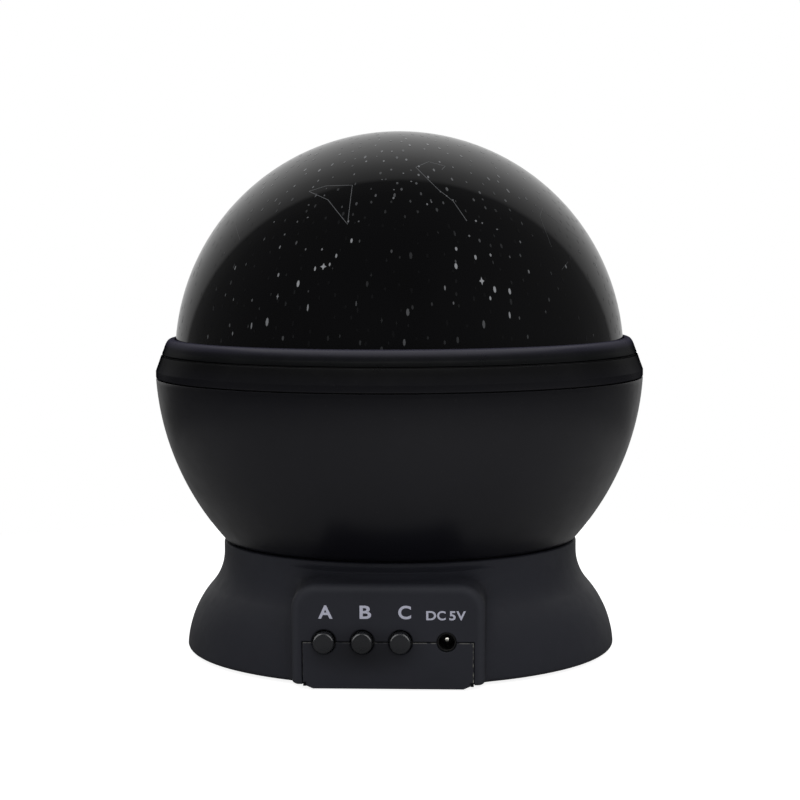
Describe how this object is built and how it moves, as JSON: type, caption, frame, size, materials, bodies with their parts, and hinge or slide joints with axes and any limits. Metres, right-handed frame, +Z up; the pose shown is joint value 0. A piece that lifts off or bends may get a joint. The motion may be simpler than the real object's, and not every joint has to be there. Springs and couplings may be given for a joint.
{
  "type": "planetarium projector",
  "caption": "Tabletop star projector lamp: a dark starred dome on a turning bowl over a flared foot with push buttons and a power inlet.",
  "frame": {"origin": "on the turning axis, in the plane of the rubber feet's lower faces", "axes": "+Z up along the bowl's turning axis; the control panel faces -Y; +X to the right seen from the front"},
  "size_m": [0.125, 0.125, 0.1327],
  "materials": {
    "dome_gloss": "gloss",
    "trim_black": "satin",
    "bowl_black": "matt",
    "foot_charcoal": "matt",
    "inner_white": "matt",
    "gear_plastic": "satin",
    "black_plastic": "satin",
    "board_green": "satin",
    "board_white": "satin",
    "steel": "satin",
    "nickel": "polished",
    "brass": "satin",
    "zinc": "satin",
    "pad_rubber": "matt",
    "felt": "matt",
    "wire_sheath": "matt",
    "clear_lens": "gloss",
    "cell_sleeve": "satin"
  },
  "bodies": {
    "base": {"base_shell": "foot_charcoal", "bottom_cover": "foot_charcoal", "rubber_feet": "pad_rubber", "cover_screws": "zinc", "battery_cells": "cell_sleeve", "battery_springs": "nickel", "battery_contacts": "nickel", "battery_cable": "wire_sheath", "main_board": "board_green", "board_components": "black_plastic", "board_screws": "zinc", "tact_switches": "black_plastic", "dc_jack": "black_plastic", "jack_pin": "nickel", "gear_plate": "gear_plastic", "plate_screws": "zinc", "motor": "steel", "motor_screws": "zinc", "motor_cable": "wire_sheath", "idler_axle": "steel", "glide_washer": "inner_white", "lamp_column": "inner_white", "column_screws": "zinc", "led_board": "board_white", "leds": "clear_lens", "lamp_lens": "clear_lens", "led_cable": "wire_sheath"},
    "bowl": {"bowl": "bowl_black", "ring_gear": "gear_plastic", "ring_gear_screws": "zinc", "reflector_tray": "inner_white", "tray_screws": "zinc", "rim_ring": "trim_black"},
    "dome_seal": {"dome_seal": "felt"},
    "dome": {"dome_collar": "trim_black", "star_dome": "dome_gloss"},
    "idler": {"idler_gear": "gear_plastic"},
    "motor_pinion": {"motor_pinion": "brass"},
    "button_a": {"button_a": "foot_charcoal"},
    "button_b": {"button_b": "foot_charcoal"},
    "button_c": {"button_c": "foot_charcoal"},
    "battery_door": {"battery_door": "foot_charcoal"}
  },
  "joints": [
    {"name": "rotor_spin", "type": "hinge", "parent": "base", "child": "bowl", "pos_m": [0, 0, 0.03], "axis": [0, 0, 1], "continuous": true},
    {"name": "dome_twist", "type": "hinge", "parent": "bowl", "child": "dome_seal", "pos_m": [0, 0, 0.0757], "axis": [0, 0, -1], "range_deg": [0, 20]},
    {"name": "dome_lift", "type": "slide", "parent": "dome_seal", "child": "dome", "axis": [0, 0, 1], "range_m": [0, 0.08]},
    {"name": "idler_spin", "type": "hinge", "parent": "base", "child": "idler", "pos_m": [0.0336, 0, 0.018], "axis": [0, 0, 1], "continuous": true},
    {"name": "motor_spin", "type": "hinge", "parent": "base", "child": "motor_pinion", "pos_m": [0.0336, -0.0125, 0.015], "axis": [0, 0, 1], "continuous": true},
    {"name": "button_a_press", "type": "slide", "parent": "base", "child": "button_a", "axis": [0, 1, 0], "range_m": [0, 0.0008], "stiffness_N_per_m": 1500},
    {"name": "button_b_press", "type": "slide", "parent": "base", "child": "button_b", "axis": [0, 1, 0], "range_m": [0, 0.0008], "stiffness_N_per_m": 1500},
    {"name": "button_c_press", "type": "slide", "parent": "base", "child": "button_c", "axis": [0, 1, 0], "range_m": [0, 0.0008], "stiffness_N_per_m": 1500},
    {"name": "battery_door_hinge", "type": "hinge", "parent": "base", "child": "battery_door", "pos_m": [0, 0.0279, 0.0019], "axis": [1, 0, 0], "range_deg": [0, 85]}
  ],
  "couplings": [
    {"joint": "idler_spin", "follows": "rotor_spin", "ratio": -6},
    {"joint": "motor_spin", "follows": "rotor_spin", "ratio": 24}
  ]
}
